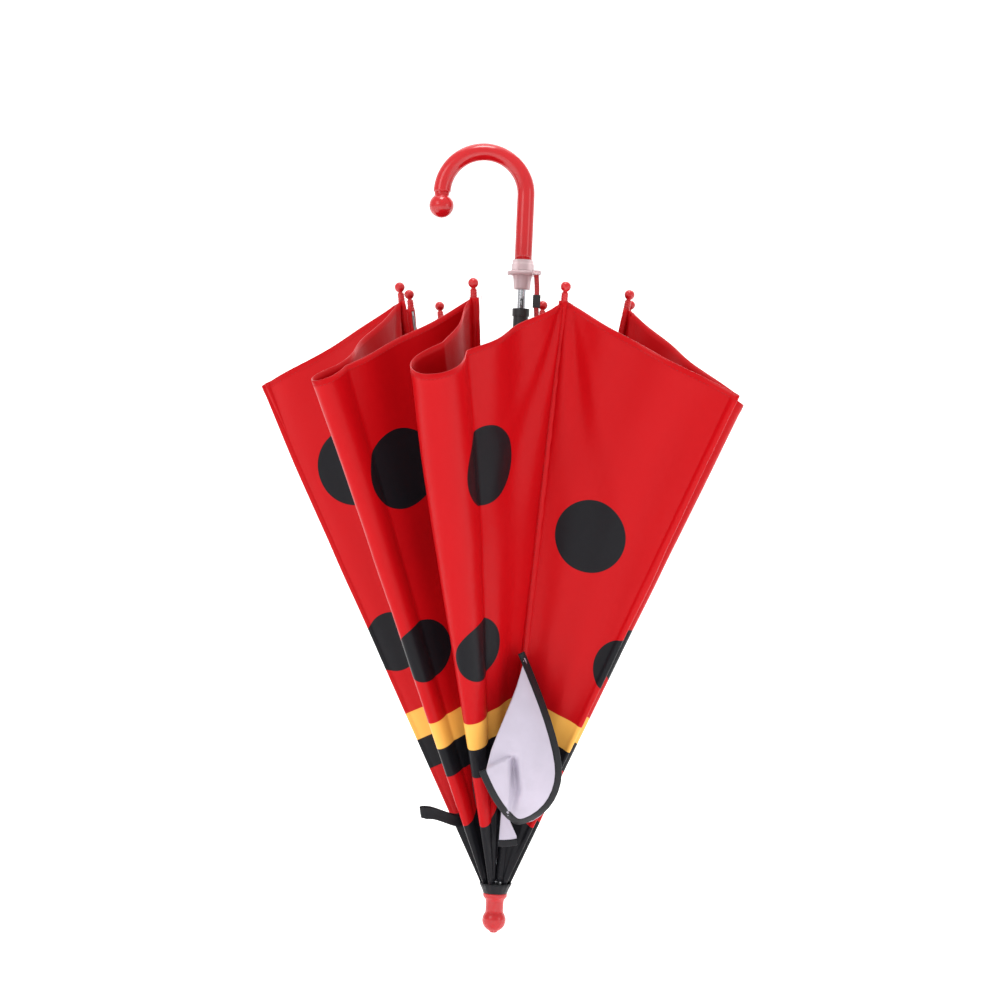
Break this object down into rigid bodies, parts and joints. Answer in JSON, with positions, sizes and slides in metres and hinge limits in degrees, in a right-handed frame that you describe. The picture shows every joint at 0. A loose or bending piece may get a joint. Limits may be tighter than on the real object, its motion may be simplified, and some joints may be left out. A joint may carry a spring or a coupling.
{
  "type": "umbrella",
  "caption": "Children's stick umbrella, closed, with a crook handle, sliding runner, hinged ribs and stretchers, folding cloth panels and cloth eyes and antennae",
  "frame": {"origin": "on the shaft's axis, in the middle of the handle's straight grip", "axes": "+Z along the shaft from the ferrule to the handle, -X the way the crook bends, -Y the side that shows the eyes"},
  "size_m": [0.3973, 0.406, 0.6306],
  "materials": {
    "tip_plastic": "glossy moulded red",
    "rib_steel": "bright rolled steel",
    "canopy_cloth": "printed satin polyester, red with black dots, a yellow band and a black crown",
    "eye_cloth": "white polyester with a black bound edge",
    "antenna_cloth": "black polyester",
    "shaft_chrome": "polished",
    "red_plastic": "glossy moulded red",
    "clear_plastic": "soft translucent, slightly pink",
    "black_plastic": "moulded black, satin",
    "red_cord": "braided red polyester",
    "spring_steel": "plain spring steel"
  },
  "bodies": {
    "frame": {"shaft": "shaft_chrome", "handle_crook": "red_plastic", "handle_ball": "red_plastic", "safety_collar": "clear_plastic", "collar_ring": "clear_plastic", "ferrule": "red_plastic", "crown_washer": "black_plastic", "crown_hub": "black_plastic", "crown_wire": "spring_steel", "crown_rivet": "spring_steel", "catch_pins": "spring_steel", "hand_cord": "red_cord", "cord_clip": "black_plastic"},
    "runner": {"runner": "black_plastic"},
    "closed_catch": {"closed_catch": "spring_steel"},
    "open_catch": {"open_catch": "spring_steel"},
    "rib_1": {"rib_1": "rib_steel", "rib_tip_1": "tip_plastic"},
    "stretcher_1": {"stretcher_1": "rib_steel"},
    "panel_1_left": {"panel_1_left": "canopy_cloth"},
    "panel_1_right": {"panel_1_right": "canopy_cloth"},
    "rib_2": {"rib_2": "rib_steel", "rib_tip_2": "tip_plastic"},
    "stretcher_2": {"stretcher_2": "rib_steel"},
    "panel_2_left": {"panel_2_left": "canopy_cloth"},
    "panel_2_right": {"panel_2_right": "canopy_cloth"},
    "rib_3": {"rib_3": "rib_steel", "rib_tip_3": "tip_plastic"},
    "stretcher_3": {"stretcher_3": "rib_steel"},
    "panel_3_left": {"panel_3_left": "canopy_cloth"},
    "panel_3_right": {"panel_3_right": "canopy_cloth"},
    "rib_4": {"rib_4": "rib_steel", "rib_tip_4": "tip_plastic"},
    "stretcher_4": {"stretcher_4": "rib_steel"},
    "panel_4_left": {"panel_4_left": "canopy_cloth"},
    "panel_4_right": {"panel_4_right": "canopy_cloth"},
    "rib_5": {"rib_5": "rib_steel", "rib_tip_5": "tip_plastic", "antenna_left": "antenna_cloth"},
    "stretcher_5": {"stretcher_5": "rib_steel"},
    "panel_5_left": {"panel_5_left": "canopy_cloth"},
    "panel_5_right": {"panel_5_right": "canopy_cloth"},
    "rib_6": {"rib_6": "rib_steel", "rib_tip_6": "tip_plastic", "eye_far": "eye_cloth"},
    "stretcher_6": {"stretcher_6": "rib_steel"},
    "panel_6_left": {"panel_6_left": "canopy_cloth"},
    "panel_6_right": {"panel_6_right": "canopy_cloth"},
    "rib_7": {"rib_7": "rib_steel", "rib_tip_7": "tip_plastic", "eye_near": "eye_cloth"},
    "stretcher_7": {"stretcher_7": "rib_steel"},
    "panel_7_left": {"panel_7_left": "canopy_cloth"},
    "panel_7_right": {"panel_7_right": "canopy_cloth"},
    "rib_8": {"rib_8": "rib_steel", "rib_tip_8": "tip_plastic", "antenna_right": "antenna_cloth"},
    "stretcher_8": {"stretcher_8": "rib_steel"},
    "panel_8_left": {"panel_8_left": "canopy_cloth"},
    "panel_8_right": {"panel_8_right": "canopy_cloth"}
  },
  "joints": [
    {"name": "runner_slide", "type": "slide", "parent": "frame", "child": "runner", "axis": [0, 0, -1], "range_m": [0, 0.17301]},
    {"name": "rib_1_swing", "type": "hinge", "parent": "frame", "child": "rib_1", "pos_m": [0.00647, 0.00268, -0.52731], "axis": [-0.3707, 0.9286, -0.0177], "range_deg": [0, 43.04]},
    {"name": "stretcher_1_swing", "type": "hinge", "parent": "rib_1", "child": "stretcher_1", "pos_m": [0.04425, 0.02193, -0.30917], "axis": [0.3934, -0.9193, -0.0132], "range_deg": [0, 85.99]},
    {"name": "panel_1_left_fold", "type": "hinge", "parent": "rib_1", "child": "panel_1_left", "pos_m": [0.00647, 0.00268, -0.52731], "axis": [0.17, 0.0866, 0.9816], "range_deg": [0, 51.91], "deforming": ["panel_1_left"]},
    {"name": "panel_1_right_fold", "type": "hinge", "parent": "panel_1_left", "child": "panel_1_right", "pos_m": [0.12611, 0.17201, -0.12908], "axis": [-0.2654, -0.3719, -0.8895], "range_deg": [0, 137.86], "deforming": ["panel_1_right"]},
    {"name": "rib_2_swing", "type": "hinge", "parent": "frame", "child": "rib_2", "pos_m": [0.00268, 0.00647, -0.52731], "axis": [-0.9092, 0.4137, -0.0471], "range_deg": [0, 43.6]},
    {"name": "stretcher_2_swing", "type": "hinge", "parent": "rib_2", "child": "stretcher_2", "pos_m": [0.00983, 0.04704, -0.30927], "axis": [0.9349, -0.353, -0.0354], "range_deg": [0, 86.86]},
    {"name": "panel_2_left_fold", "type": "hinge", "parent": "rib_2", "child": "panel_2_left", "pos_m": [0.00268, 0.00647, -0.52731], "axis": [0.0322, 0.1828, 0.9826], "range_deg": [0, 63.06], "deforming": ["panel_2_left"]},
    {"name": "panel_2_right_fold", "type": "hinge", "parent": "panel_2_left", "child": "panel_2_right", "pos_m": [-0.01931, 0.21967, -0.1328], "axis": [0.047, -0.4699, -0.8814], "range_deg": [0, 138.09], "deforming": ["panel_2_right"]},
    {"name": "rib_3_swing", "type": "hinge", "parent": "frame", "child": "rib_3", "pos_m": [-0.00268, 0.00647, -0.52731], "axis": [-0.939, -0.3375, -0.0654], "range_deg": [0, 41.25]},
    {"name": "stretcher_3_swing", "type": "hinge", "parent": "rib_3", "child": "stretcher_3", "pos_m": [-0.03289, 0.04805, -0.30819], "axis": [0.9069, 0.4188, -0.0466], "range_deg": [0, 82.64]},
    {"name": "panel_3_left_fold", "type": "hinge", "parent": "rib_3", "child": "panel_3_left", "pos_m": [-0.00268, 0.00647, -0.52731], "axis": [-0.1342, 0.1847, 0.9736], "range_deg": [0, 43.46], "deforming": ["panel_3_left"]},
    {"name": "panel_3_right_fold", "type": "hinge", "parent": "panel_3_left", "child": "panel_3_right", "pos_m": [-0.19781, 0.10916, -0.13621], "axis": [0.4293, -0.2286, -0.8738], "range_deg": [0, 147.36], "deforming": ["panel_3_right"]},
    {"name": "rib_4_swing", "type": "hinge", "parent": "frame", "child": "rib_4", "pos_m": [-0.00647, 0.00268, -0.52731], "axis": [-0.3814, -0.9244, 0.002], "range_deg": [0, 43.1]},
    {"name": "stretcher_4_swing", "type": "hinge", "parent": "rib_4", "child": "stretcher_4", "pos_m": [-0.04513, 0.01909, -0.30921], "axis": [0.3839, 0.9234, 0.0015], "range_deg": [0, 86.11]},
    {"name": "panel_4_left_fold", "type": "hinge", "parent": "rib_4", "child": "panel_4_left", "pos_m": [-0.00647, 0.00268, -0.52731], "axis": [-0.1741, 0.0739, 0.982], "range_deg": [0, 77.02], "deforming": ["panel_4_left"]},
    {"name": "panel_4_right_fold", "type": "hinge", "parent": "panel_4_left", "child": "panel_4_right", "pos_m": [-0.21387, 0.03577, -0.13046], "axis": [0.4566, -0.0743, -0.8866], "range_deg": [0, 141.4], "deforming": ["panel_4_right"]},
    {"name": "rib_5_swing", "type": "hinge", "parent": "frame", "child": "rib_5", "pos_m": [-0.00647, -0.00268, -0.52731], "axis": [0.3813, -0.9245, -0.0021], "range_deg": [0, 42.5]},
    {"name": "stretcher_5_swing", "type": "hinge", "parent": "rib_5", "child": "stretcher_5", "pos_m": [-0.04736, -0.02004, -0.30897], "axis": [-0.3839, 0.9234, -0.0015], "range_deg": [0, 85.06]},
    {"name": "panel_5_left_fold", "type": "hinge", "parent": "rib_5", "child": "panel_5_left", "pos_m": [-0.00647, -0.00268, -0.52731], "axis": [-0.1835, -0.0779, 0.9799], "range_deg": [0, 60.78], "deforming": ["panel_5_left"]},
    {"name": "panel_5_right_fold", "type": "hinge", "parent": "panel_5_left", "child": "panel_5_right", "pos_m": [-0.15129, -0.15621, -0.13104], "axis": [0.3206, 0.337, -0.8852], "range_deg": [0, 143.29], "deforming": ["panel_5_right"]},
    {"name": "rib_6_swing", "type": "hinge", "parent": "frame", "child": "rib_6", "pos_m": [-0.00268, -0.00647, -0.52731], "axis": [0.9254, -0.379, 0.0054], "range_deg": [0, 43.8]},
    {"name": "stretcher_6_swing", "type": "hinge", "parent": "rib_6", "child": "stretcher_6", "pos_m": [-0.01862, -0.04228, -0.30947], "axis": [-0.9225, 0.3861, 0.0041], "range_deg": [0, 87.35]},
    {"name": "panel_6_left_fold", "type": "hinge", "parent": "rib_6", "child": "panel_6_left", "pos_m": [-0.00268, -0.00647, -0.52731], "axis": [-0.072, -0.1618, 0.9842], "range_deg": [0, 94.18], "deforming": ["panel_6_left"]},
    {"name": "panel_6_right_fold", "type": "hinge", "parent": "panel_6_left", "child": "panel_6_right", "pos_m": [-0.07319, -0.19429, -0.12543], "axis": [0.1558, 0.4129, -0.8973], "range_deg": [0, 147.48], "deforming": ["panel_6_right"]},
    {"name": "rib_7_swing", "type": "hinge", "parent": "frame", "child": "rib_7", "pos_m": [0.00268, -0.00647, -0.52731], "axis": [0.9224, 0.3862, 0.0053], "range_deg": [0, 44]},
    {"name": "stretcher_7_swing", "type": "hinge", "parent": "rib_7", "child": "stretcher_7", "pos_m": [0.01644, -0.04232, -0.30954], "axis": [-0.9252, -0.3793, 0.004], "range_deg": [0, 87.71]},
    {"name": "panel_7_left_fold", "type": "hinge", "parent": "rib_7", "child": "panel_7_left", "pos_m": [0.00268, -0.00647, -0.52731], "axis": [0.0622, -0.1621, 0.9848], "range_deg": [0, 51.51], "deforming": ["panel_7_left"]},
    {"name": "panel_7_right_fold", "type": "hinge", "parent": "panel_7_left", "child": "panel_7_right", "pos_m": [0.16904, -0.12504, -0.12737], "axis": [-0.3651, 0.2629, -0.8931], "range_deg": [0, 144.66], "deforming": ["panel_7_right"]},
    {"name": "rib_8_swing", "type": "hinge", "parent": "frame", "child": "rib_8", "pos_m": [0.00647, -0.00268, -0.52731], "axis": [0.3815, 0.9244, 0.0018], "range_deg": [0, 44]},
    {"name": "stretcher_8_swing", "type": "hinge", "parent": "rib_8", "child": "stretcher_8", "pos_m": [0.04181, -0.01768, -0.30954], "axis": [-0.3838, -0.9234, 0.0013], "range_deg": [0, 87.7]},
    {"name": "panel_8_left_fold", "type": "hinge", "parent": "rib_8", "child": "panel_8_left", "pos_m": [0.00647, -0.00268, -0.52731], "axis": [0.1598, -0.0678, 0.9848], "range_deg": [0, 33.44], "deforming": ["panel_8_left"]},
    {"name": "panel_8_right_fold", "type": "hinge", "parent": "panel_8_left", "child": "panel_8_right", "pos_m": [0.19091, 0.08157, -0.12596], "axis": [-0.4068, -0.1831, -0.895], "range_deg": [0, 145.93], "deforming": ["panel_8_right"]},
    {"name": "closed_catch_press", "type": "hinge", "parent": "frame", "child": "closed_catch", "pos_m": [0, 0, -0.07875], "axis": [-1, 0, 0], "range_deg": [0, 7], "stiffness_Nm_per_rad": 0.05},
    {"name": "open_catch_press", "type": "hinge", "parent": "frame", "child": "open_catch", "pos_m": [0, 0, -0.24076], "axis": [-1, 0, 0], "range_deg": [0, 7], "stiffness_Nm_per_rad": 0.05}
  ],
  "couplings": [
    {"joint": "rib_1_swing", "follows": "runner_slide", "rad_per_m": 4.3418},
    {"joint": "stretcher_1_swing", "follows": "runner_slide", "rad_per_m": 8.6743},
    {"joint": "panel_1_left_fold", "follows": "runner_slide", "rad_per_m": 5.2371},
    {"joint": "panel_1_right_fold", "follows": "runner_slide", "rad_per_m": 13.908},
    {"joint": "rib_2_swing", "follows": "runner_slide", "rad_per_m": 4.398},
    {"joint": "stretcher_2_swing", "follows": "runner_slide", "rad_per_m": 8.7622},
    {"joint": "panel_2_left_fold", "follows": "runner_slide", "rad_per_m": 6.3615},
    {"joint": "panel_2_right_fold", "follows": "runner_slide", "rad_per_m": 13.93},
    {"joint": "rib_3_swing", "follows": "runner_slide", "rad_per_m": 4.1608},
    {"joint": "stretcher_3_swing", "follows": "runner_slide", "rad_per_m": 8.3371},
    {"joint": "panel_3_left_fold", "follows": "runner_slide", "rad_per_m": 4.3846},
    {"joint": "panel_3_right_fold", "follows": "runner_slide", "rad_per_m": 14.865},
    {"joint": "rib_4_swing", "follows": "runner_slide", "rad_per_m": 4.3479},
    {"joint": "stretcher_4_swing", "follows": "runner_slide", "rad_per_m": 8.6868},
    {"joint": "panel_4_left_fold", "follows": "runner_slide", "rad_per_m": 7.7701},
    {"joint": "panel_4_right_fold", "follows": "runner_slide", "rad_per_m": 14.264},
    {"joint": "rib_5_swing", "follows": "runner_slide", "rad_per_m": 4.2874},
    {"joint": "stretcher_5_swing", "follows": "runner_slide", "rad_per_m": 8.5805},
    {"joint": "panel_5_left_fold", "follows": "runner_slide", "rad_per_m": 6.1314},
    {"joint": "panel_5_right_fold", "follows": "runner_slide", "rad_per_m": 14.455},
    {"joint": "rib_6_swing", "follows": "runner_slide", "rad_per_m": 4.4189},
    {"joint": "stretcher_6_swing", "follows": "runner_slide", "rad_per_m": 8.8121},
    {"joint": "panel_6_left_fold", "follows": "runner_slide", "rad_per_m": 9.5004},
    {"joint": "panel_6_right_fold", "follows": "runner_slide", "rad_per_m": 14.878},
    {"joint": "rib_7_swing", "follows": "runner_slide", "rad_per_m": 4.4391},
    {"joint": "stretcher_7_swing", "follows": "runner_slide", "rad_per_m": 8.848},
    {"joint": "panel_7_left_fold", "follows": "runner_slide", "rad_per_m": 5.1966},
    {"joint": "panel_7_right_fold", "follows": "runner_slide", "rad_per_m": 14.593},
    {"joint": "rib_8_swing", "follows": "runner_slide", "rad_per_m": 4.4387},
    {"joint": "stretcher_8_swing", "follows": "runner_slide", "rad_per_m": 8.8475},
    {"joint": "panel_8_left_fold", "follows": "runner_slide", "rad_per_m": 3.3729},
    {"joint": "panel_8_right_fold", "follows": "runner_slide", "rad_per_m": 14.722}
  ]
}
